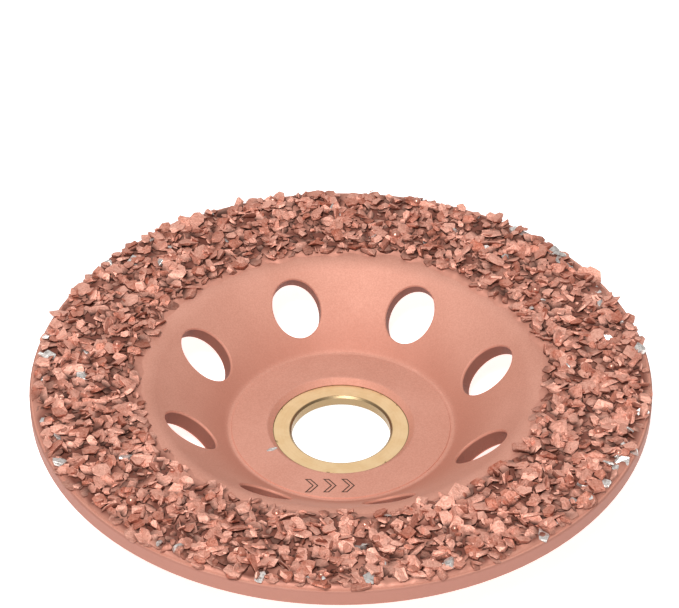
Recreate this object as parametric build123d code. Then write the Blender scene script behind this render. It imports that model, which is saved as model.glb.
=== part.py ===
from build123d import *
import math
import os
import random

# Angle grinder carving disc: a pressed steel cup disc, copper plated, with a brass reducing bush
# in its hub and a ring of crushed carbide grit brazed to its face.
# Millimetres. The origin is on the bore axis, on the hub's back face. +Z is the working side.

# Driving dimensions
DISC_R = 50.0             # 100 mm disc
SHEET_T = 2.8             # pressed plate
BORE_R = 8.1              # 16 mm spindle hole with its clearance
ARBOR_R = 11.15           # 22.23 mm arbor hole in the plate, which holds the bush
BUSH_T = 1.95             # the bush lies flush with the back and below the front
BUSH_CHAMFER = 0.3
PAD_R = 17.85             # flat raised pad that the clamping nut bears on
PAD_H = 0.15              # pad above the foot of the wall
PAD_BEVEL = 0.07
PAD_ROUND = 0.06
LIP = 0.9                 # bevel of the arbor hole on the front
LIP_ROUND = 0.4
WALL_SLOPE = 38.7         # degrees from flat
RING_SLOPE = 2.1          # the grit ring rises a little towards the rim
RIM_Z = 13.56             # front edge of the rim
RIM_ROUND = 0.35
FOOT_BEND_R = 0.8         # inside bend where the hub turns into the wall
KNEE_BEND_R = 1.3         # inside bend where the wall turns into the ring

VENTS = 8
VENT_PITCH_R = 25.12      # vent centre on the wall's front face
VENT_Z = 8.146
VENT_LEAN = 30.0          # degrees between a vent's sides and the bore axis
VENT_HALF_LENGTH = 5.14   # along the slope
VENT_HALF_WIDTH = 4.12
VENT_FIRST_AZIMUTH = 17.17
VENT_EDGE_ROUND = 0.2

MARK_CENTRE = (-1.85, -14.95)
MARK_PITCH = 2.9
MARK_DEPTH = 0.15
MARK_LINE = 0.22

BED_INNER_R = 31.9        # braze layer that the grit sits in
BED_OUTER_R = 49.3
BED_T = 0.4

SECTORS = 24
GRIT_ROWS = 7
GRIT_PITCH = 2.45
GRIT_HALF_SIZE = (0.92, 1.1)
GRIT_HEIGHT = (0.9, 1.5)   # at the middle of the slanting top
GRIT_TILT = 0.25
GRIT_JITTER = 0.1
GRIT_SEED = 7

HUB_T = SHEET_T + PAD_H
WALL_TAN = math.tan(math.radians(WALL_SLOPE))
RING_TAN = math.tan(math.radians(RING_SLOPE))


def meet(line_a, line_b):
    """Point (r, z) where two straight lines of the profile cross; a line is (r, z, slope)."""
    r_a, z_a, slope_a = line_a
    r_b, z_b, slope_b = line_b
    r = ((z_b - slope_b * r_b) - (z_a - slope_a * r_a)) / (slope_a - slope_b)
    return r, z_a + slope_a * (r - r_a)


def ring_z(r):
    """Height of the ring's front face at radius r."""
    return RIM_Z + RING_TAN * (r - DISC_R)


def spun(points, radii):
    """Solid of revolution about Z from a closed (r, z) outline with one corner radius per point."""
    outline = FilletPolyline(*points, radius=radii, close=True)
    return revolve(Plane.XZ * make_face(outline), Axis.Z)


# Pressed plate: flat hub, conical wall and nearly flat ring, all of one thickness
def plate():
    wall_drop = SHEET_T / math.cos(math.radians(WALL_SLOPE))
    ring_drop = SHEET_T / math.cos(math.radians(RING_SLOPE))
    front_wall = (VENT_PITCH_R, VENT_Z, WALL_TAN)
    back_wall = (VENT_PITCH_R, VENT_Z - wall_drop, WALL_TAN)
    front_ring = (DISC_R, RIM_Z, RING_TAN)
    back_ring = (DISC_R, RIM_Z - ring_drop, RING_TAN)
    corners = [
        ((ARBOR_R, 0), 0),
        (meet((0, 0, 0), back_wall), FOOT_BEND_R + SHEET_T),
        (meet(back_wall, back_ring), KNEE_BEND_R),
        ((DISC_R, RIM_Z - ring_drop), RIM_ROUND),
        ((DISC_R, RIM_Z), RIM_ROUND),
        (meet(front_wall, front_ring), KNEE_BEND_R + SHEET_T),
        (meet((0, SHEET_T, 0), front_wall), FOOT_BEND_R),
        ((PAD_R + PAD_BEVEL, SHEET_T), 0),
        ((PAD_R, HUB_T), PAD_ROUND),
        ((ARBOR_R + LIP, HUB_T), LIP_ROUND),
        ((ARBOR_R, HUB_T - LIP), 0),
    ]
    return spun([point for point, _ in corners], [radius for _, radius in corners])


# Oval vents, punched a little steeper than square to the wall
def vents():
    slope = math.radians(WALL_SLOPE)
    lean = math.radians(VENT_LEAN)
    punches = []
    for index in range(VENTS):
        azimuth = math.radians(VENT_FIRST_AZIMUTH + index * 360 / VENTS)
        outwards = Vector(math.cos(azimuth), math.sin(azimuth), 0)
        up = Vector(0, 0, 1)
        wall_face = Plane(
            origin=outwards * VENT_PITCH_R + up * VENT_Z,
            x_dir=outwards * math.cos(slope) + up * math.sin(slope),
            z_dir=up * math.cos(slope) - outwards * math.sin(slope),
        )
        way = up * math.cos(lean) - outwards * math.sin(lean)
        outline = Pos(way * (-1.5 * SHEET_T)) * (wall_face * Ellipse(VENT_HALF_LENGTH, VENT_HALF_WIDTH))
        punches.append(extrude(outline, 2 * SHEET_T, dir=way))
    return punches


# Three outlined chevrons engraved in the pad, pointing the way the disc turns
def rotation_mark():
    chevron = make_face(Polyline(
        (-1.1, 1.6), (-0.1, 1.6), (1.15, 0), (-0.1, -1.6), (-1.1, -1.6), (0.15, 0), close=True))
    outline = chevron - offset(chevron, amount=-MARK_LINE)
    grooves = []
    for index in (-1, 0, 1):
        place = Pos(MARK_CENTRE[0] + index * MARK_PITCH, MARK_CENTRE[1], HUB_T - MARK_DEPTH)
        grooves.append(extrude(place * outline, 2 * MARK_DEPTH))
    return grooves


def cup_body():
    cup = plate() - vents()
    vent_edges = cup.edges().filter_by(GeomType.BSPLINE)
    return fillet(vent_edges, VENT_EDGE_ROUND) - rotation_mark()


# Brass reducing bush, pressed into the arbor hole
def bore_bushing():
    corners = [
        (BORE_R, BUSH_CHAMFER),
        (BORE_R + BUSH_CHAMFER, 0),
        (ARBOR_R, 0),
        (ARBOR_R, BUSH_T),
        (BORE_R + BUSH_CHAMFER, BUSH_T),
        (BORE_R, BUSH_T - BUSH_CHAMFER),
    ]
    return spun(corners, [0] * len(corners))


# Braze layer on the ring, following the plate's bend at its inner edge
def braze_bed(body):
    band = [
        (BED_INNER_R, RIM_Z - SHEET_T),
        (BED_OUTER_R, RIM_Z - SHEET_T),
        (BED_OUTER_R, ring_z(BED_OUTER_R) + BED_T),
        (BED_INNER_R, ring_z(BED_INNER_R) + BED_T),
    ]
    layers = (spun(band, [0] * len(band)) - body).solids()
    return max(layers, key=lambda layer: layer.center().Z)


# One crushed carbide chip: a tapered five- or six-sided lump with a slanting top, foot on the braze
def grit_chip(rng, r, azimuth):
    outwards = Vector(math.cos(azimuth), math.sin(azimuth), 0)
    up = Vector(0, 0, 1)
    slope = math.radians(RING_SLOPE)
    seat = Plane(
        origin=outwards * r + up * (ring_z(r) + BED_T),
        x_dir=outwards * math.cos(slope) + up * math.sin(slope),
        z_dir=up * math.cos(slope) - outwards * math.sin(slope),
    )
    sides = rng.choice((5, 6))
    corners = []
    for side in range(sides):
        turn = 2 * math.pi * (side + rng.uniform(-0.15, 0.15)) / sides
        reach = rng.uniform(*GRIT_HALF_SIZE)
        corners.append((reach * math.cos(turn), reach * math.sin(turn)))
    lump = extrude(make_face(Polyline(*corners, close=True)), 2 * GRIT_HEIGHT[1], taper=rng.uniform(5, 10))
    top = Plane(
        origin=(0, 0, rng.uniform(*GRIT_HEIGHT)),
        z_dir=(rng.uniform(-GRIT_TILT, GRIT_TILT), rng.uniform(-GRIT_TILT, GRIT_TILT), 1),
    )
    return seat * split(lump, bisect_by=top, keep=Keep.BOTTOM)


# All the chips of one sector of the ring, in staggered rows
def grit_sector(rng, index):
    sector = math.radians(360 / SECTORS)
    first_r = BED_INNER_R + GRIT_PITCH / 2
    last_r = BED_OUTER_R - GRIT_PITCH / 2
    chips = []
    for row in range(GRIT_ROWS):
        row_r = first_r + (last_r - first_r) * row / (GRIT_ROWS - 1)
        count = int(row_r * sector / GRIT_PITCH)
        for place in range(count):
            azimuth = sector * (index + (place + 0.5) / count)
            azimuth += rng.uniform(-GRIT_JITTER, GRIT_JITTER) / row_r
            chips += grit_chip(rng, row_r + rng.uniform(-GRIT_JITTER, GRIT_JITTER), azimuth).solids()
    return Compound(children=chips)


def main():
    os.makedirs("parts", exist_ok=True)
    body = cup_body()
    export_step(body, "parts/cup_body.step")
    export_step(bore_bushing(), "parts/bore_bushing.step")
    export_step(braze_bed(body), "parts/braze_bed.step")
    rng = random.Random(GRIT_SEED)
    for index in range(SECTORS):
        export_step(grit_sector(rng, index), f"parts/grit_sector_{index + 1:02d}.step")


main()
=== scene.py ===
"""Looks of an angle grinder carving disc: a copper-plated cup disc with brazed carbide grit.

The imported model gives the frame. The pressed cup and the brass bush keep their own meshes and get
finishes; the braze and the grit are modelled here in full detail. Sizes are in millimetres on the
classes and become metres when a mesh is finished.
"""

import logging
import math
import random
from dataclasses import dataclass, field
from enum import Enum
from typing import Any, Union

import bmesh
import bpy
from mathutils import Euler, Matrix, Vector, kdtree, noise

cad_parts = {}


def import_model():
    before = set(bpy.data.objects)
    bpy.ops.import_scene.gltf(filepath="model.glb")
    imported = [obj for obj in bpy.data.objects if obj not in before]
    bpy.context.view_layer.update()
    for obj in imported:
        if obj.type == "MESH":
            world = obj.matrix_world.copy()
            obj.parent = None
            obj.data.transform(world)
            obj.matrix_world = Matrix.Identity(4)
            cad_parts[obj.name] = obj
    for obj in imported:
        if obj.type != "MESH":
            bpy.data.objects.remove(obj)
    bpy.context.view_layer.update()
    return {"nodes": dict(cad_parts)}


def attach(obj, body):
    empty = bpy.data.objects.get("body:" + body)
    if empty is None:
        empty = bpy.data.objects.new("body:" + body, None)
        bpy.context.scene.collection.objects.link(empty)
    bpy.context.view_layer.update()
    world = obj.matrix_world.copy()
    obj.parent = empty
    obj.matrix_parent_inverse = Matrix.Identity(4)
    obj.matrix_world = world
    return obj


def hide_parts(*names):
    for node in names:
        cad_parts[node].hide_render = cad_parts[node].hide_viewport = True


MM = 0.001
FULL_TURN = 2 * math.pi
LOG = logging.getLogger("carving_disc")

# Sockets of a Mix node that mixes colours, which share their names with those of its other modes.
MIX_FACTOR, MIX_FIRST, MIX_SECOND, MIX_RESULT = 0, 6, 7, 2

Colour = tuple[float, float, float]
Span = tuple[float, float]
Number = Union["Tap", float]


# ---------------------------------------------------------------- shader maths


class Tap:
    """One output of a shader node, with arithmetic that adds Math nodes to its tree."""

    def __init__(self, paint: "Paint", socket: bpy.types.NodeSocket) -> None:
        """Wraps a socket.

        Args:
            paint: The material that the socket belongs to.
            socket: An output socket of one of its nodes.
        """
        self.paint = paint
        self.socket = socket

    def math(self, operation: str, *others: Number, swapped: bool = False) -> "Tap":
        """Adds a Math node that works on this value.

        Args:
            operation: The Math node's operation.
            others: The other operands.
            swapped: True when this value is the second operand.

        Returns:
            The result's socket.
        """
        operands = [*others, self] if swapped else [self, *others]
        settings = {"operation": operation}
        return self.paint.node("ShaderNodeMath", settings, dict(enumerate(operands)))

    def __add__(self, other: Number) -> "Tap":
        """This value plus another.

        Args:
            other: The other value.

        Returns:
            The sum.
        """
        return self.math("ADD", other)

    __radd__ = __add__

    def __sub__(self, other: Number) -> "Tap":
        """This value less another.

        Args:
            other: The other value.

        Returns:
            The difference.
        """
        return self.math("SUBTRACT", other)

    def __rsub__(self, other: Number) -> "Tap":
        """Another value less this one.

        Args:
            other: The other value.

        Returns:
            The difference.
        """
        return self.math("SUBTRACT", other, swapped=True)

    def __mul__(self, other: Number) -> "Tap":
        """This value times another.

        Args:
            other: The other value.

        Returns:
            The product.
        """
        return self.math("MULTIPLY", other)

    __rmul__ = __mul__

    def __truediv__(self, other: Number) -> "Tap":
        """This value divided by another.

        Args:
            other: The other value.

        Returns:
            The quotient.
        """
        return self.math("DIVIDE", other)

    def ease(self, low: float, high: float) -> "Tap":
        """A smooth step of this value.

        Args:
            low: Where the result is 0.
            high: Where the result is 1. It may be below low, which turns the step round.

        Returns:
            A value from 0 to 1.
        """
        if high < low:
            return 1.0 - self.ease(high, low)
        settings = {"interpolation_type": "SMOOTHSTEP"}
        return self.paint.node(
            "ShaderNodeMapRange", settings, {"Value": self, "From Min": low, "From Max": high}
        )


class Paint:
    """A material being painted: one method adds any node, short ones add the common patterns."""

    def __init__(self, name: str) -> None:
        """Starts a material with a Principled shader.

        Args:
            name: The material's name.
        """
        self.material = bpy.data.materials.new(name)
        self.material.use_nodes = True
        self.nodes = self.material.node_tree.nodes
        self.shader = self.nodes["Principled BSDF"]
        self.place = self.node("ShaderNodeTexCoord", output="Object")

    def node(
        self,
        kind: str,
        settings: dict[str, Any] | None = None,
        inputs: dict[Any, Any] | None = None,
        output: Any = 0,
    ) -> Tap:
        """Adds a node.

        Args:
            kind: The node's type.
            settings: Its properties, such as a Math node's operation.
            inputs: Values or links of its sockets, by name or number.
            output: The name or number of the output wanted.

        Returns:
            That output.
        """
        made = self.nodes.new(kind)
        for key, value in (settings or {}).items():
            setattr(made, key, value)
        for key, value in (inputs or {}).items():
            self.feed(made.inputs[key], value)
        return Tap(self, made.outputs[output])

    def feed(self, socket: bpy.types.NodeSocket, value: Any) -> None:
        """Links or sets an input socket.

        Args:
            socket: The input.
            value: A Tap, a number, or a colour or vector.
        """
        if isinstance(value, Tap):
            self.material.node_tree.links.new(value.socket, socket)
        elif isinstance(value, tuple) and len(value) == 3 and socket.type == "RGBA":
            socket.default_value = (*value, 1.0)
        else:
            socket.default_value = value

    def noise(self, grain_mm: float, detail: float = 2.0, rough: float = 0.5) -> Tap:
        """Noise from 0 to 1.

        Args:
            grain_mm: The size of its features.
            detail: How many finer octaves it has.
            rough: How strong those octaves are.

        Returns:
            The noise value.
        """
        inputs = {
            "Vector": self.place,
            "Scale": 1.0 / (grain_mm * MM),
            "Detail": detail,
            "Roughness": rough,
        }
        return self.node("ShaderNodeTexNoise", None, inputs)

    def cells(self, size_mm: float) -> Tap:
        """Distance to the nearest of a field of scattered points.

        Args:
            size_mm: How far apart the points are.

        Returns:
            The distance, from 0 at each point.
        """
        inputs = {"Vector": self.place, "Scale": 1.0 / (size_mm * MM)}
        return self.node("ShaderNodeTexVoronoi", None, inputs, "Distance")

    def tone(self) -> Tap:
        """The tone stored on the mesh's points.

        Returns:
            The tone, from 0 to 1.
        """
        settings = {"attribute_name": "tone"}
        return self.node("ShaderNodeAttribute", settings, None, "Fac")

    def mix(self, factor: Number, first: Any, second: Any) -> Tap:
        """A colour between two others.

        Args:
            factor: 0 for the first colour, 1 for the second.
            first: A colour or a Tap.
            second: A colour or a Tap.

        Returns:
            The mixed colour.
        """
        settings = {"data_type": "RGBA"}
        inputs = {MIX_FACTOR: factor, MIX_FIRST: first, MIX_SECOND: second}
        return self.node("ShaderNodeMix", settings, inputs, MIX_RESULT)

    def radius_and_height(self) -> tuple[Tap, Tap]:
        """Distance from the bore's axis and height above the hub's back, both in millimetres.

        Returns:
            The two values.
        """
        apart = {"operation": "MULTIPLY"}
        flat = self.node("ShaderNodeVectorMath", apart, {0: self.place, 1: (1 / MM, 1 / MM, 0.0)})
        radius = self.node("ShaderNodeVectorMath", {"operation": "LENGTH"}, {0: flat}, "Value")
        height = self.node("ShaderNodeSeparateXYZ", None, {0: self.place}, "Z") * (1 / MM)
        return radius, height

    def bump(
        self, height: Tap, depth_mm: float, strength: float = 1.0, under: Tap | None = None
    ) -> Tap:
        """A bumped normal.

        Args:
            height: The pattern, from 0 to 1.
            depth_mm: How deep a full step of it is.
            strength: How much of it shows.
            under: A normal that it lies on.

        Returns:
            The normal.
        """
        inputs = {"Height": height, "Distance": depth_mm * MM, "Strength": strength}
        if under is not None:
            inputs["Normal"] = under
        return self.node("ShaderNodeBump", None, inputs)

    def finish(self, **sockets: Any) -> bpy.types.Material:
        """Feeds the shader.

        Args:
            sockets: Values or links by socket name, with underscores for spaces.

        Returns:
            The material.
        """
        for name, value in sockets.items():
            self.feed(self.shader.inputs[name.replace("_", " ")], value)
        return self.material


# ---------------------------------------------------------------- finishes


@dataclass(frozen=True)
class CopperPlate:
    """Satin copper plate on blasted steel, with the dark engraved mark on the hub's pad. Shade is
    painted at the foot of the wall, on the rim's side and on the vents' sides.

    Each pair of lengths is where a mask is 0 and where it is 1; each cover is how much of the
    plate's own colour that mask hides.
    """

    light: Colour = (0.70, 0.345, 0.258)
    deep: Colour = (0.56, 0.245, 0.172)
    pit: Colour = (0.22, 0.09, 0.06)
    engraved: Colour = (0.09, 0.065, 0.05)
    # Painted shade for the foot of the conical wall, beside the hub's pad.
    foot_shade: Colour = (0.47, 0.17, 0.11)
    # Painted shade for the rim's outer edge and side.
    rim: Colour = (0.38, 0.165, 0.122)
    # Painted shade for the vents' punched sides.
    cut: Colour = (0.16, 0.05, 0.033)
    cloud_mm: float = 14.0
    grain_mm: float = 0.26
    peel_mm: float = 0.9
    pit_mm: float = 3.4
    pit_patch_mm: float = 9.0
    pit_cover: float = 0.75
    engraved_cover: float = 0.92
    foot_shade_cover: float = 0.45
    rim_shade_cover: float = 0.95
    vent_shade_cover: float = 0.85
    rim_radius: float = 50.0
    vent_radius: float = 25.0
    vent_height: float = 8.05
    wall_rise: float = 0.8012
    pad_height: float = 2.95
    pad_band: Span = (12.3, 17.6)
    pad_margin: float = 0.1
    sunk_start: Span = (0.02, 0.06)
    sunk_end: Span = (0.4, 0.3)
    rim_band: Span = (0.35, 0.1)
    foot_heights: Span = (9.5, 3.5)
    foot_radii: Span = (18.3, 19.3)
    below_front: Span = (0.35, 0.7)
    above_back: Span = (3.45, 3.2)
    vent_shade_inner_radii: Span = (19.5, 20.0)
    vent_shade_outer_radii: Span = (30.9, 30.4)
    metallic: float = 0.28
    roughness: float = 0.57
    specular: float = 0.4

    def engraving(self, radius: Tap, height: Tap) -> Tap:
        """Where the pad is sunk below its face, but not through the plate.

        Args:
            radius: Distance from the axis.
            height: Height above the hub's back.

        Returns:
            The mask.
        """
        inner, outer = self.pad_band
        on_pad = radius.ease(inner, inner + self.pad_margin)
        on_pad = on_pad * radius.ease(outer, outer - self.pad_margin)
        shallow, sunk = (self.pad_height - depth for depth in self.sunk_start)
        deepest, deep = (self.pad_height - depth for depth in self.sunk_end)
        return on_pad * height.ease(shallow, sunk) * height.ease(deepest, deep)

    def vent_sides(self, radius: Tap, height: Tap) -> Tap:
        """Where a vent's side is, between the conical wall's front face and its back.

        Args:
            radius: Distance from the axis.
            height: Height above the hub's back.

        Returns:
            The mask of the painted shade on the vents' sides.
        """
        under_wall = (radius - self.vent_radius) * self.wall_rise + self.vent_height - height
        punched = under_wall.ease(*self.below_front) * under_wall.ease(*self.above_back)
        return punched * radius.ease(*self.vent_shade_inner_radii) * radius.ease(*self.vent_shade_outer_radii)

    def material(self) -> bpy.types.Material:
        """The finished material.

        Returns:
            A material for the pressed cup.
        """
        paint = Paint("satin_copper_plate")
        radius, height = paint.radius_and_height()
        cloud = paint.noise(self.cloud_mm, 3.0, 0.55)
        grain = paint.noise(self.grain_mm, 2.0, 0.6)
        peel = paint.noise(self.peel_mm, 3.0, 0.6)
        patches = paint.noise(self.pit_patch_mm, 1.0).ease(0.55, 0.62)
        pits = paint.cells(self.pit_mm).ease(0.055, 0.03) * patches
        mottle = cloud.ease(0.3, 0.7) * 0.4 + grain.ease(0.3, 0.7) * 0.45
        colour = paint.mix(mottle, self.light, self.deep)
        colour = paint.mix(pits * self.pit_cover, colour, self.pit)
        sunk = self.engraving(radius, height)
        colour = paint.mix(sunk * self.engraved_cover, colour, self.engraved)
        # Painted shade at the foot of the wall, where it rises from the pad.
        foot = height.ease(*self.foot_heights) * radius.ease(*self.foot_radii)
        colour = paint.mix(foot * self.foot_shade_cover, colour, self.foot_shade)
        # Painted shade on the rim's outer edge and side.
        start, full = self.rim_band
        outer = radius.ease(self.rim_radius - start, self.rim_radius - full)
        colour = paint.mix(outer * self.rim_shade_cover, colour, self.rim)
        # Painted shade on the vents' sides.
        punched = self.vent_sides(radius, height)
        colour = paint.mix(punched * self.vent_shade_cover, colour, self.cut)
        normal = paint.bump(grain, 0.02, 0.6)
        normal = paint.bump(peel, 0.03, 0.35, normal)
        normal = paint.bump(1.0 - pits, 0.08, 0.8, normal)
        return paint.finish(
            Base_Color=colour,
            Metallic=self.metallic,
            Roughness=self.roughness + peel * 0.1 + grain * 0.06 + sunk * 0.2,
            Specular_IOR_Level=self.specular,
            Normal=normal,
        )


@dataclass(frozen=True)
class TurnedBrass:
    """Brass faced on a lathe: fine rings, small dark nicks, a dark gap at the outer edge and
    painted shade on the bore's wall.

    Each pair of lengths is how far from the edge a mask is 0 and how far it is 1.
    """

    light: Colour = (0.98, 0.72, 0.42)
    deep: Colour = (0.86, 0.58, 0.29)
    nick: Colour = (0.16, 0.10, 0.04)
    # Painted shade for the wall of the bore.
    bore: Colour = (0.22, 0.155, 0.085)
    rings_per_mm: float = 9.0
    cloud_mm: float = 2.5
    speck_mm: float = 0.35
    speck_cover: float = 0.35
    nick_cover: float = 0.85
    bore_shade_cover: float = 0.85
    outer_radius: float = 11.15
    bore_radius: float = 8.1
    nick_band: Span = (0.5, 0.2)
    gap_band: Span = (0.2, 0.09)
    bore_band: Span = (0.5, 0.25)
    roughness: float = 0.27

    def from_outside(self, radius: Tap, band: Span) -> Tap:
        """A mask that grows towards the bush's outer edge.

        Args:
            radius: Distance from the axis.
            band: How far inside the edge the mask is 0, and how far it is 1.

        Returns:
            The mask.
        """
        return radius.ease(self.outer_radius - band[0], self.outer_radius - band[1])

    def material(self) -> bpy.types.Material:
        """The finished material.

        Returns:
            A material for the bush.
        """
        paint = Paint("turned_brass")
        radius, height = paint.radius_and_height()
        across = paint.node("ShaderNodeCombineXYZ", None, {"X": radius, "Y": height})
        turning = {"Vector": across, "Scale": self.rings_per_mm, "Detail": 3.0}
        rings = paint.node("ShaderNodeTexNoise", None, turning)
        cloud = paint.noise(self.cloud_mm, 3.0, 0.6)
        speck = paint.noise(self.speck_mm, 2.0, 0.7)
        edge = self.from_outside(radius, self.nick_band)
        nicks = edge * cloud.ease(0.60, 0.66) + self.from_outside(radius, self.gap_band)
        colour = paint.mix(rings * 0.35 + cloud.ease(0.35, 0.65) * 0.45, self.light, self.deep)
        colour = paint.mix(speck.ease(0.62, 0.72) * self.speck_cover, colour, self.deep)
        colour = paint.mix(nicks * self.nick_cover, colour, self.nick)
        # Painted shade on the bore's wall.
        start, full = self.bore_band
        bore = radius.ease(self.bore_radius + start, self.bore_radius + full)
        colour = paint.mix(bore * self.bore_shade_cover, colour, self.bore)
        rough = self.roughness + rings * 0.14 + speck * 0.1
        normal = paint.bump(rings, 0.01, 0.6)
        normal = paint.bump(speck, 0.01, 0.3, normal)
        return paint.finish(Base_Color=colour, Metallic=1.0, Roughness=rough, Normal=normal)


class Coat(Enum):
    """What covers a chip."""

    COPPER = "copper"
    BARE = "bare"


@dataclass(frozen=True)
class CoatedGrit:
    """Copper braze over crushed carbide: matte, each chip of its own tone, with painted shade in
    the crevices and on the chips' steep sides.

    Each pair is where a mask is 0 and where it is 1.
    """

    light: Colour = (0.97, 0.52, 0.40)
    deep: Colour = (0.50, 0.15, 0.09)
    # Painted shade for the chips' steep sides, deepest low among the chips.
    broken: Colour = (0.21, 0.058, 0.034)
    # Painted shade for the crevices low between the chips.
    crevice: Colour = (0.03, 0.008, 0.005)
    wrinkle_mm: float = 0.34
    stain_mm: float = 1.1
    ring_height: float = 13.56
    ring_radius: float = 50.0
    ring_rise: float = 0.0367
    open_edges: Span = (32.2, 49.6)
    inner_fade: float = 2.4
    outer_fade: float = 2.0
    crevice_heights: Span = (1.12, 0.45)
    below_heights: Span = (1.7, 0.7)
    steep_facing: Span = (0.75, 0.15)
    crevice_cover: float = 0.95
    steep_shade_cover: float = 0.52
    low_shade_cover: float = 0.45
    metallic: float = 0.55
    roughness: float = 0.46
    specular: float = 0.3

    def above_ring(self, paint: Paint) -> tuple[Tap, Tap]:
        """Where a point is on the ring.

        Args:
            paint: The material.

        Returns:
            Its height above the plate in millimetres, and 1 among the chips fading to 0 at the
            grit's two open edges, where light gets in.
        """
        radius, height = paint.radius_and_height()
        inner, outer = self.open_edges
        crowd = radius.ease(outer, outer - self.outer_fade)
        crowd = crowd * radius.ease(inner, inner + self.inner_fade)
        above = height - self.ring_height - (radius - self.ring_radius) * self.ring_rise
        return above, crowd

    def material(self) -> bpy.types.Material:
        """The finished material.

        Returns:
            A material for coated chips.
        """
        paint = Paint("coated_carbide")
        tone = paint.tone()
        wrinkle = paint.noise(self.wrinkle_mm, 3.0, 0.65)
        stain = paint.noise(self.stain_mm, 2.0, 0.5)
        above, crowd = self.above_ring(paint)
        low = above.ease(*self.crevice_heights) * (0.4 + crowd * 0.6)
        facing = paint.node("ShaderNodeNewGeometry", output="True Normal")
        upward = paint.node("ShaderNodeSeparateXYZ", None, {0: facing}, "Z")
        steep = upward.ease(*self.steep_facing)
        shade = tone * 0.65 + stain.ease(0.35, 0.75) * 0.25 + wrinkle.ease(0.42, 0.68) * 0.35
        colour = paint.mix(shade, self.light, self.deep)
        # Painted shade on the chips' steep sides, deeper low among the chips.
        below = above.ease(*self.below_heights) * crowd
        cover = steep * (self.steep_shade_cover + below * self.low_shade_cover)
        colour = paint.mix(cover, colour, self.broken)
        # Painted shade in the crevices, darker where the chips crowd.
        colour = paint.mix(low * self.crevice_cover, colour, self.crevice)
        normal = paint.bump(stain, 0.25, 0.6)
        normal = paint.bump(wrinkle, 0.16, 0.95, normal)
        return paint.finish(
            Base_Color=colour,
            Metallic=self.metallic,
            Roughness=self.roughness + wrinkle * 0.14 + low * 0.2,
            Specular_IOR_Level=self.specular,
            Normal=normal,
        )


@dataclass(frozen=True)
class BareCarbide:
    """Broken carbide that the braze left bare: pale silver, glinting."""

    light: Colour = (0.84, 0.79, 0.75)
    deep: Colour = (0.42, 0.37, 0.34)
    flake_mm: float = 0.5
    metallic: float = 0.75
    roughness: float = 0.24

    def material(self) -> bpy.types.Material:
        """The finished material.

        Returns:
            A material for bare chips and for the steel burr.
        """
        paint = Paint("bare_carbide")
        flake = paint.noise(self.flake_mm, 3.0, 0.7)
        colour = paint.mix(flake.ease(0.4, 0.7), self.light, self.deep)
        rough = self.roughness + flake * 0.2
        normal = paint.bump(flake, 0.08, 0.6)
        return paint.finish(
            Base_Color=colour, Metallic=self.metallic, Roughness=rough, Normal=normal
        )


@dataclass(frozen=True)
class BrazeFlow:
    """Copper braze that ran between the chips: paler where it pooled, painted shade in the gaps."""

    light: Colour = (0.68, 0.31, 0.225)
    # Painted shade for the gaps between the chips.
    deep: Colour = (0.19, 0.055, 0.035)
    ripple_mm: float = 0.5
    metallic: float = 0.4
    roughness: float = 0.5

    def material(self) -> bpy.types.Material:
        """The finished material.

        Returns:
            A material for the braze layer.
        """
        paint = Paint("copper_braze")
        gap = paint.tone()
        ripple = paint.noise(self.ripple_mm, 3.0, 0.6)
        # Painted shade where the tone is high, in the gaps between chips.
        colour = paint.mix(gap * 0.85 + ripple * 0.15, self.light, self.deep)
        rough = self.roughness + ripple * 0.15
        normal = paint.bump(ripple, 0.05, 0.5)
        return paint.finish(
            Base_Color=colour, Metallic=self.metallic, Roughness=rough, Normal=normal
        )


@dataclass(frozen=True)
class BrazeBead:
    """A drop of copper braze that froze round: smooth and glossy."""

    light: Colour = (0.66, 0.31, 0.23)
    deep: Colour = (0.44, 0.15, 0.10)
    skin_mm: float = 0.6
    metallic: float = 0.5
    roughness: float = 0.2

    def material(self) -> bpy.types.Material:
        """The finished material.

        Returns:
            A material for the beads.
        """
        paint = Paint("braze_bead")
        skin = paint.noise(self.skin_mm, 2.0, 0.5)
        colour = paint.mix(skin.ease(0.35, 0.65), self.light, self.deep)
        rough = self.roughness + skin * 0.15
        normal = paint.bump(skin, 0.04, 0.4)
        return paint.finish(
            Base_Color=colour, Metallic=self.metallic, Roughness=rough, Normal=normal
        )


@dataclass(frozen=True)
class PaleFloor:
    """Plain pale studio paper."""

    pale: Colour = (0.90, 0.90, 0.90)
    shade: Colour = (0.87, 0.87, 0.87)
    tooth_mm: float = 0.6
    roughness: float = 0.9
    glow: float = 0.8

    def material(self) -> bpy.types.Material:
        """The finished material.

        Returns:
            A material for the floor.
        """
        paint = Paint("pale_paper")
        tooth = paint.noise(self.tooth_mm, 2.0)
        colour = paint.mix(tooth, self.pale, self.shade)
        return paint.finish(
            Base_Color=colour,
            Roughness=self.roughness,
            Emission_Color=colour,
            Emission_Strength=self.glow,
        )


# ---------------------------------------------------------------- meshes


def finished_piece(
    name: str, bm: bmesh.types.BMesh, materials: list[bpy.types.Material], smooth: bool
) -> bpy.types.Object:
    """Turns a mesh in millimetres into an object in metres that rides on the disc.

    Args:
        name: The piece's name.
        bm: Its mesh, which is freed.
        materials: Its materials, in the order of its faces' material numbers.
        smooth: Whether its faces are shaded smooth.

    Returns:
        The object.
    """
    bmesh.ops.scale(bm, vec=(MM, MM, MM), verts=bm.verts)
    for face in bm.faces:
        face.smooth = smooth
    mesh = bpy.data.meshes.new(name)
    bm.to_mesh(mesh)
    bm.free()
    for material in materials:
        mesh.materials.append(material)
    piece = bpy.data.objects.new(name, mesh)
    bpy.context.scene.collection.objects.link(piece)
    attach(piece, "root")
    LOG.info("%s: %d faces", name, len(mesh.polygons))
    return piece


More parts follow.
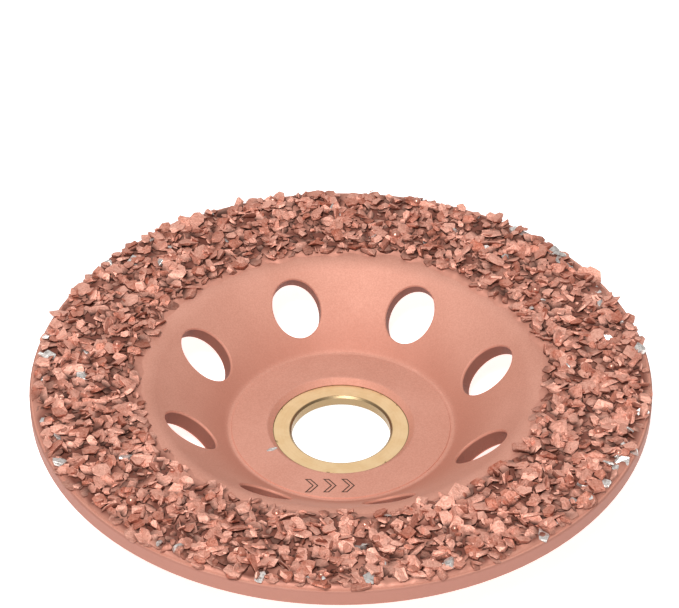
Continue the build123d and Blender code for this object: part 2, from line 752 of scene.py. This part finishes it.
@dataclass
class Ring:
    """The working ring of the cup: its plate and where the grit goes, in millimetres."""

    rim_radius: float = 50.0
    rim_height: float = 13.56
    rise: float = 0.0367
    knee_radius: float = 30.99
    knee_width: float = 0.42
    wall_rise: float = 0.8012
    grit_inner: float = 33.3
    grit_outer: float = 49.4
    edge_wander: float = 1.1
    coarse_waves: float = 2.3
    fine_waves: float = 11.0
    fine_share: float = 0.9

    def plate(self, radius: float) -> float:
        """Height of the plate's front face: the nearly flat ring, bending down into the wall.

        Args:
            radius: Distance from the axis.

        Returns:
            The height.
        """
        flat = self.rim_height + self.rise * (radius - self.rim_radius)
        knee = self.rim_height + self.rise * (self.knee_radius - self.rim_radius)
        wall = knee + self.wall_rise * (radius - self.knee_radius)
        gap = flat - wall
        blend = 0.5 * (math.sqrt(gap * gap + self.knee_width ** 2) - abs(gap))
        return min(flat, wall) - blend

    def inner_edge(self, azimuth: float) -> float:
        """Radius where the grit starts, which wanders round the ring.

        Args:
            azimuth: Angle round the axis.

        Returns:
            The radius.
        """
        spot = Vector((math.cos(azimuth), math.sin(azimuth), 0.0))
        coarse = noise.noise(spot * self.coarse_waves + Vector((4.0, 0.0, 0.0)))
        fine = noise.noise(spot * self.fine_waves + Vector((0.0, 7.0, 0.0)))
        return self.grit_inner + self.edge_wander * (coarse + self.fine_share * fine)


@dataclass
class Chip:
    """Where one chip lies and what it looks like."""

    place: Vector
    turn: Matrix
    scale: float
    coat: Coat
    tone: float
    sector: int


@dataclass
class GritRing:
    """The brazed carbide: chips in two rough layers with crumbs, sorted into the model's sectors.

    Lengths are in millimetres, leans and tilts in degrees. The sizes that shape a chip are shares
    of its long side, width and thickness.
    """

    ring: Ring = field(default_factory=Ring)
    sectors: int = 24
    shapes: int = 96
    spacing: float = 1.52
    row_share: float = 0.9
    first_row: float = 0.85
    spare_depth: float = 2.0
    turn_jitter: float = 0.38
    radius_jitter: float = 0.42
    rim_clear: float = 0.45
    lower_lift: Span = (0.1, 0.5)
    lower_lean: float = 16.0
    upper_share: float = 0.4
    upper_inset: float = 0.5
    upper_lift: Span = (0.6, 1.0)
    upper_lean: float = 26.0
    crumb_share: float = 0.45
    crumb_inset: float = 0.3
    crumb_along: float = 1.0
    crumb_across: float = 0.8
    crumb_inner_clear: float = 0.25
    crumb_rim_clear: float = 0.5
    crumb_lift: Span = (0.4, 1.2)
    crumb_lean: float = 35.0
    crumb_size: float = 0.5
    bare_share: float = 0.012
    bare_rim_share: float = 0.07
    bare_rim_width: float = 2.2
    steep_share: float = 0.12
    steep_lean: float = 45.0
    side_lean: float = 15.0
    sizes: Span = (0.68, 1.22)
    tone_power: float = 1.9
    long_size: Span = (2.2, 4.0)
    width_share: Span = (0.5, 0.9)
    thickness: Span = (0.45, 0.95)
    side_counts: tuple[int, ...] = (5, 6, 7)
    lower_girth: Span = (0.38, 0.54)
    upper_girth: Span = (0.34, 0.52)
    wobble: float = 0.1
    wobble_up: float = 0.05
    side_break_counts: tuple[int, ...] = (1, 2, 2)
    side_break_tilt: float = 0.5
    side_breaks: Span = (0.26, 0.42)
    face_break_ends: tuple[float, ...] = (1.0, 1.0, -1.0)
    face_break_tilt: float = 0.9
    face_breaks: Span = (0.26, 0.40)
    merge_distance: float = 0.03
    edge_round: float = 0.032
    bed: float = 0.4
    top: float = 1.9
    seed: int = 12
    chips: list[Chip] = field(default_factory=list)

    def scatter(self) -> None:
        """Places the chips: staggered rows with jitter below, fewer and steeper ones on top."""
        rng = random.Random(self.seed)
        ring = self.ring
        row_gap = self.spacing * self.row_share
        rows = int((ring.grit_outer - ring.grit_inner + self.spare_depth) / row_gap)
        for row in range(rows):
            row_radius = ring.grit_outer - self.first_row - row * row_gap
            count = int(FULL_TURN * row_radius / self.spacing)
            for index in range(count):
                jitter = rng.uniform(-self.turn_jitter, self.turn_jitter)
                azimuth = FULL_TURN * (index + 0.5 * (row % 2) + jitter) / count
                shift = rng.uniform(-self.radius_jitter, self.radius_jitter)
                self._heap(rng, row_radius + shift * self.spacing, azimuth % FULL_TURN)

    def _heap(self, rng: random.Random, radius: float, azimuth: float) -> None:
        """Lays a chip on the ring, and by chance a second one and a crumb over it.

        Args:
            rng: The source of its randomness.
            radius: Distance from the axis.
            azimuth: Angle round the axis, from 0 to a full turn.
        """
        edge = self.ring.inner_edge(azimuth)
        if radius < edge or radius > self.ring.grit_outer - self.rim_clear:
            return
        lift, lean = rng.uniform(*self.lower_lift), rng.gauss(0.0, self.lower_lean)
        self._add(rng, radius, azimuth, lift, lean)
        if rng.random() < self.upper_share and radius > edge + self.upper_inset:
            lift, lean = rng.uniform(*self.upper_lift), rng.gauss(0.0, self.upper_lean)
            self._add(rng, radius, azimuth, lift, lean)
        if rng.random() < self.crumb_share and radius > edge + self.crumb_inset:
            self._add_crumb(rng, radius, azimuth)

    def _add_crumb(self, rng: random.Random, radius: float, azimuth: float) -> None:
        """Adds one small chip near a place, inside the grit's two edges.

        Args:
            rng: The source of its randomness.
            radius: The place's distance from the axis.
            azimuth: The place's angle round the axis.
        """
        along = rng.uniform(-self.crumb_along, self.crumb_along)
        crumb_azimuth = (azimuth + along / radius) % FULL_TURN
        inside = self.ring.inner_edge(crumb_azimuth) + self.crumb_inner_clear
        outside = self.ring.grit_outer - self.crumb_rim_clear
        across = rng.uniform(-self.crumb_across, self.crumb_across)
        crumb_radius = max(inside, min(radius + across, outside))
        lift, lean = rng.uniform(*self.crumb_lift), rng.gauss(0.0, self.crumb_lean)
        self._add(rng, crumb_radius, crumb_azimuth, lift, lean, self.crumb_size)

    def _add(
        self,
        rng: random.Random,
        radius: float,
        azimuth: float,
        lift: float,
        lean: float,
        shrink: float = 1.0,
    ) -> None:
        """Adds one chip.

        Args:
            rng: The source of its randomness.
            radius: Distance from the axis.
            azimuth: Angle round the axis, from 0 to a full turn.
            lift: Height of its centre above the plate, less half of the braze.
            lean: Its tilt in degrees.
            shrink: Its size, as a share of a usual chip's.
        """
        ring = self.ring
        near_rim = radius > ring.grit_outer - self.bare_rim_width
        bare = rng.random() < (self.bare_rim_share if near_rim else self.bare_share)
        if rng.random() < self.steep_share:
            lean += rng.choice((-self.steep_lean, self.steep_lean))
        side = math.radians(rng.gauss(0.0, self.side_lean))
        turn = Euler((math.radians(lean), side, rng.uniform(0.0, FULL_TURN)))
        height = ring.plate(radius) + self.bed * 0.5 + lift
        self.chips.append(Chip(
            place=Vector((radius * math.cos(azimuth), radius * math.sin(azimuth), height)),
            turn=(Matrix.Rotation(rng.uniform(0.0, FULL_TURN), 3, "Z") @ turn.to_matrix()),
            scale=rng.uniform(*self.sizes) * shrink,
            coat=Coat.BARE if bare else Coat.COPPER,
            tone=rng.random() ** self.tone_power,
            sector=int(azimuth / FULL_TURN * self.sectors) % self.sectors,
        ))

    def shape(self, rng: random.Random) -> bpy.types.Mesh:
        """One crushed chip at its real size: a prism broken along random planes, its edges eased.

        Args:
            rng: The source of its randomness.

        Returns:
            The mesh, as a pattern to be copied.
        """
        long_side = rng.uniform(*self.long_size)
        thickness = rng.uniform(*self.thickness)
        width = max(thickness, long_side * rng.uniform(*self.width_share))
        bm = bmesh.new()
        bmesh.ops.create_cone(
            bm,
            cap_ends=True,
            segments=rng.choice(self.side_counts),
            radius1=rng.uniform(*self.lower_girth),
            radius2=rng.uniform(*self.upper_girth),
            depth=1.0,
        )
        for vert in bm.verts:
            vert.co += Vector((
                rng.uniform(-self.wobble, self.wobble),
                rng.uniform(-self.wobble, self.wobble),
                rng.uniform(-self.wobble_up, self.wobble_up),
            ))
        tilt = self.side_break_tilt
        for _ in range(rng.choice(self.side_break_counts)):
            azimuth = rng.uniform(0.0, FULL_TURN)
            away = Vector((math.cos(azimuth), math.sin(azimuth), rng.uniform(-tilt, tilt)))
            self._break(bm, away.normalized(), rng.uniform(*self.side_breaks))
        tilt = self.face_break_tilt
        for end in self.face_break_ends:
            away = Vector((rng.uniform(-tilt, tilt), rng.uniform(-tilt, tilt), end))
            self._break(bm, away.normalized(), rng.uniform(*self.face_breaks))
        bmesh.ops.remove_doubles(bm, verts=bm.verts, dist=self.merge_distance)
        bmesh.ops.scale(bm, vec=(long_side, width, thickness), verts=bm.verts)
        bmesh.ops.bevel(
            bm, geom=bm.edges[:], offset=self.edge_round, offset_type="OFFSET", segments=1,
            profile=0.5, affect="EDGES", clamp_overlap=True, material=-1,
        )
        bmesh.ops.recalc_face_normals(bm, faces=bm.faces)
        bm.verts.layers.float.new("tone")
        mesh = bpy.data.meshes.new("chip_pattern")
        bm.to_mesh(mesh)
        bm.free()
        return mesh

    def _break(self, bm: bmesh.types.BMesh, away: Vector, distance: float) -> None:
        """Breaks off what lies beyond a plane and closes the break.

        Args:
            bm: The chip.
            away: The plane's normal.
            distance: How far the plane is from the chip's middle.
        """
        parts = bm.verts[:] + bm.edges[:] + bm.faces[:]
        cut = bmesh.ops.bisect_plane(
            bm, geom=parts, dist=0.001, plane_co=away * distance, plane_no=away, clear_outer=True
        )
        rim = [part for part in cut["geom_cut"] if isinstance(part, bmesh.types.BMEdge)]
        if len(rim) > 2:
            bmesh.ops.contextual_create(bm, geom=rim)

    def build(self, materials: dict[Coat, bpy.types.Material]) -> list[bpy.types.Object]:
        """Builds one piece for each sector of chips.

        Args:
            materials: The material of each coat.

        Returns:
            The pieces.
        """
        rng = random.Random(self.seed + 1)
        patterns = [self.shape(rng) for _ in range(self.shapes)]
        meshes = [bmesh.new() for _ in range(self.sectors)]
        for chip in self.chips:
            self._copy(meshes[chip.sector], rng.choice(patterns), chip)
        finishes = [materials[Coat.COPPER], materials[Coat.BARE]]
        pieces = []
        for index, bm in enumerate(meshes):
            name = f"grit_chips_{index + 1:02d}"
            piece = finished_piece(name, bm, finishes, smooth=False)
            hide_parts(f"grit_sector_{index + 1:02d}")
            pieces.append(piece)
        for pattern in patterns:
            bpy.data.meshes.remove(pattern)
        return pieces

    def _copy(self, bm: bmesh.types.BMesh, pattern: bpy.types.Mesh, chip: Chip) -> None:
        """Adds one chip to a sector.

        Args:
            bm: The sector's mesh.
            pattern: The chip's shape.
            chip: Its place, size and finish.
        """
        turned = chip.turn.to_4x4() @ Matrix.Diagonal((*(chip.scale,) * 3, 1.0))
        peak = max((turned @ vert.co).z for vert in pattern.vertices)
        limit = self.ring.plate(chip.place.xy.length) + self.top
        sink = Vector((0.0, 0.0, max(0.0, chip.place.z + peak - limit)))
        place = Matrix.Translation(chip.place - sink) @ turned
        pattern.transform(place)
        pattern.attributes["tone"].data.foreach_set("value", [chip.tone] * len(pattern.vertices))
        finish = 1 if chip.coat is Coat.BARE else 0
        pattern.polygons.foreach_set("material_index", [finish] * len(pattern.polygons))
        bm.from_mesh(pattern)
        pattern.transform(place.inverted())


@dataclass
class BrazeBed:
    """The braze under the chips: a lumpy skin that climbs their feet and thins out at its edges."""

    ring: Ring = field(default_factory=Ring)
    inner_radius: float = 30.9
    outer_radius: float = 49.55
    rows: int = 40
    columns: int = 720
    thickness: float = 0.30
    underside: float = 0.4
    lumps: float = 0.22
    coarse_lumps: float = 0.9
    fine_lumps: float = 2.3
    fine_lump_share: float = 0.5
    climb: float = 0.30
    climb_reach: float = 0.75
    climb_chips: int = 3
    inner_lead: float = 0.9
    inner_ramp: float = 1.1
    outer_ramp: float = 0.35
    hidden: float = 0.06
    pools: float = 0.28
    pool_gain: float = 2.6
    pool_base: float = 0.1
    pool_cover: float = 0.85
    inner_fringe: float = 1.2
    outer_fringe: float = 0.8

    def build(self, chips: list[Chip], material: bpy.types.Material) -> bpy.types.Object:
        """Builds the braze.

        Args:
            chips: The chips that it holds.
            material: Its finish.

        Returns:
            The piece.
        """
        tree = kdtree.KDTree(len(chips))
        for index, chip in enumerate(chips):
            tree.insert((chip.place.x, chip.place.y, 0.0), index)
        tree.balance()
        bm = bmesh.new()
        tone = bm.verts.layers.float.new("tone")
        section = self._section(bm)
        bmesh.ops.spin(
            bm, geom=section, cent=(0, 0, 0), axis=(0, 0, 1), angle=FULL_TURN,
            steps=self.columns, use_merge=True, use_duplicate=False,
        )
        for vert in bm.verts:
            vert[tone] = self._settle(vert, tree)
        bmesh.ops.recalc_face_normals(bm, faces=bm.faces)
        piece = finished_piece("braze_skin", bm, [material], smooth=True)
        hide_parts("braze_bed")
        return piece

    def _section(self, bm: bmesh.types.BMesh) -> list[bmesh.types.BMEdge]:
        """The closed cross-section: a top line of many points and an underside inside the plate.

        Args:
            bm: The mesh to draw it in.

        Returns:
            Its edges.
        """
        step = (self.outer_radius - self.inner_radius) / self.rows
        radii = [self.inner_radius + step * row for row in range(self.rows + 1)]
        top = [bm.verts.new((r, 0.0, self.ring.plate(r))) for r in radii]
        ends = [
            bm.verts.new((r, 0.0, self.ring.plate(r) - self.underside))
            for r in (radii[-1], radii[0])
        ]
        loop = top + ends
        return [bm.edges.new((loop[index - 1], loop[index])) for index in range(len(loop))]

    def _settle(self, vert: bmesh.types.BMVert, tree: kdtree.KDTree) -> float:
        """Lifts one point of the skin's top to where the braze froze.

        Args:
            vert: The point.
            tree: The chips' places.

        Returns:
            Its tone: 0 where the braze pooled in the open, 1 for painted shade deep between chips.
        """
        radius = vert.co.xy.length
        if vert.co.z < self.ring.plate(radius) - self.underside / 2:
            return 1.0
        edge = self.ring.inner_edge(math.atan2(vert.co.y, vert.co.x))
        inside = self._clamp((radius - edge + self.inner_lead) / self.inner_ramp)
        outside = self._clamp((self.outer_radius - radius) / self.outer_ramp)
        present = inside * outside
        spot = Vector((vert.co.x, vert.co.y, 0.0))
        lumps = noise.noise(spot * self.coarse_lumps)
        lumps += self.fine_lump_share * noise.noise(spot * self.fine_lumps)
        near = [distance for _, _, distance in tree.find_n(spot, self.climb_chips)]
        crowd = sum(math.exp(-(distance / self.climb_reach) ** 2) for distance in near)
        rise = self.thickness + self.lumps * lumps + self.climb * min(1.0, crowd)
        vert.co.z += rise * present - self.hidden * (1.0 - present)
        # Painted shade, less where the braze pooled, fading out at the grit's open edges.
        pool = self._clamp(self.pool_gain * noise.noise(spot * self.pools) + self.pool_base)
        fringe_inside = (radius - edge) / self.inner_fringe
        fringe_outside = (self.outer_radius - radius) / self.outer_fringe
        fringe = min(1.0, max(0.0, fringe_inside), max(0.0, fringe_outside))
        return fringe * (1.0 - self.pool_cover * pool)

    @staticmethod
    def _clamp(value: float) -> float:
        """Keeps a value from 0 to 1.

        Args:
            value: The value.

        Returns:
            The nearest value in that range.
        """
        return min(1.0, max(0.0, value))


@dataclass
class BrazeBeads:
    """A few round beads of braze among the chips."""

    ring: Ring = field(default_factory=Ring)
    count: int = 22
    size: Span = (0.45, 0.95)
    inner_clear: float = 0.4
    rim_clear: float = 1.0
    heights: Span = (0.7, 1.15)
    seed: int = 5

    def build(self, material: bpy.types.Material) -> bpy.types.Object:
        """Builds the beads as one piece.

        Args:
            material: Their finish.

        Returns:
            The piece.
        """
        rng = random.Random(self.seed)
        bm = bmesh.new()
        for _ in range(self.count):
            azimuth = rng.uniform(0.0, FULL_TURN)
            inside = self.ring.inner_edge(azimuth) + self.inner_clear
            radius = rng.uniform(inside, self.ring.grit_outer - self.rim_clear)
            size = rng.uniform(*self.size)
            height = self.ring.plate(radius) + rng.uniform(*self.heights)
            centre = (radius * math.cos(azimuth), radius * math.sin(azimuth), height)
            place = Matrix.Translation(centre)
            bmesh.ops.create_icosphere(bm, subdivisions=3, radius=size, matrix=place)
        piece = finished_piece("braze_beads", bm, [material], smooth=True)
        return piece


@dataclass
class BushBurr:
    """A bright curl of metal raised beside the bush where it was pressed in."""

    place: tuple[float, float, float] = (-11.15, -6.2, 2.95)
    azimuth: float = 24.0
    size: tuple[float, float, float] = (1.75, 0.85, 0.3)
    roughen: Span = (0.75, 1.15)
    seed: int = 3

    def build(self, material: bpy.types.Material) -> bpy.types.Object:
        """Builds the burr.

        Args:
            material: Its finish.

        Returns:
            The piece.
        """
        rng = random.Random(self.seed)
        bm = bmesh.new()
        bmesh.ops.create_icosphere(bm, subdivisions=2, radius=0.5)
        for vert in bm.verts:
            vert.co *= rng.uniform(*self.roughen)
        bmesh.ops.scale(bm, vec=self.size, verts=bm.verts)
        turn = Matrix.Rotation(math.radians(self.azimuth), 3, "Z")
        bmesh.ops.rotate(bm, cent=(0, 0, 0), matrix=turn, verts=bm.verts)
        bmesh.ops.translate(bm, vec=self.place, verts=bm.verts)
        piece = finished_piece("bush_burr", bm, [material], smooth=False)
        return piece


@dataclass(frozen=True)
class Softbox:
    """A square area light: its place and side in millimetres, its power in watts."""

    name: str
    place: tuple[float, float, float]
    size: float
    watts: float


@dataclass
class Studio:
    """Camera, floor and soft light. Lengths are in millimetres, angles in degrees."""

    stand: tuple[float, float, float] = (-0.16, -332.4, 289.5)
    elevation: float = 38.2
    roll: float = -0.22
    lens: float = 142.2
    sensor: float = 36.0
    clip_start_m: float = 0.01
    floor_size: float = 4000.0
    key: Softbox = Softbox("key_light", (-120.0, -400.0, 680.0), 220.0, 5.6)
    back: Softbox = Softbox("back_light", (0.0, 620.0, 480.0), 420.0, 0.42)
    sky_level: float = 0.40

    def camera(self) -> None:
        """Makes the camera."""
        data = bpy.data.cameras.new("camera")
        data.lens = self.lens
        data.sensor_width = self.sensor
        data.clip_start = self.clip_start_m
        camera = bpy.data.objects.new("camera", data)
        tilt = Matrix.Rotation(math.radians(90.0 - self.elevation), 4, "X")
        roll = Matrix.Rotation(math.radians(self.roll), 4, "Z")
        camera.matrix_world = Matrix.Translation(Vector(self.stand) * MM) @ tilt @ roll
        bpy.context.scene.collection.objects.link(camera)
        bpy.context.scene.camera = camera

    def floor(self, material: bpy.types.Material) -> None:
        """Makes the floor under the hub's back.

        Args:
            material: Its finish.
        """
        bm = bmesh.new()
        bmesh.ops.create_grid(bm, x_segments=1, y_segments=1, size=self.floor_size * MM / 2)
        mesh = bpy.data.meshes.new("floor")
        bm.to_mesh(mesh)
        bm.free()
        mesh.materials.append(material)
        floor = bpy.data.objects.new("floor", mesh)
        bpy.context.scene.collection.objects.link(floor)

    def softbox(self, box: Softbox) -> None:
        """Makes a square area light that faces the disc.

        Args:
            box: What it is like.
        """
        data = bpy.data.lights.new(box.name, "AREA")
        data.size = box.size * MM
        data.energy = box.watts
        place = Vector(box.place)
        light = bpy.data.objects.new(box.name, data)
        light.location = place * MM
        light.rotation_euler = place.to_track_quat("Z", "Y").to_euler()
        bpy.context.scene.collection.objects.link(light)

    def sky(self) -> None:
        """Makes an even pale surround."""
        world = bpy.data.worlds.new("studio")
        world.use_nodes = True
        background = world.node_tree.nodes["Background"]
        background.inputs["Color"].default_value = (1.0, 1.0, 1.0, 1.0)
        background.inputs["Strength"].default_value = self.sky_level
        bpy.context.scene.world = world

    def build(self) -> None:
        """Builds the whole studio."""
        self.camera()
        self.floor(PaleFloor().material())
        self.softbox(self.key)
        self.softbox(self.back)
        self.sky()
        bpy.context.scene.view_settings.view_transform = "Standard"


def dress(node: bpy.types.Object, material: bpy.types.Material) -> None:
    """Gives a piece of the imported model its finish.

    Args:
        node: The piece.
        material: Its finish.
    """
    if not node.material_slots:
        node.data.materials.append(material)
    for slot in node.material_slots:
        slot.material = material
    LOG.info("%s: %s", node.name, material.name)


def main() -> None:
    """Builds the studio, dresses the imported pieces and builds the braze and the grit."""
    logging.basicConfig(level=logging.INFO, format="%(message)s")
    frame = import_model()
    Studio().build()
    dress(frame["nodes"]["cup_body"], CopperPlate().material())
    dress(frame["nodes"]["bore_bushing"], TurnedBrass().material())
    coats = {Coat.COPPER: CoatedGrit().material(), Coat.BARE: BareCarbide().material()}
    grit = GritRing()
    grit.scatter()
    grit.build(coats)
    BrazeBed().build(grit.chips, BrazeFlow().material())
    BrazeBeads().build(BrazeBead().material())
    BushBurr().build(coats[Coat.BARE])


if __name__ == "__main__":
    main()
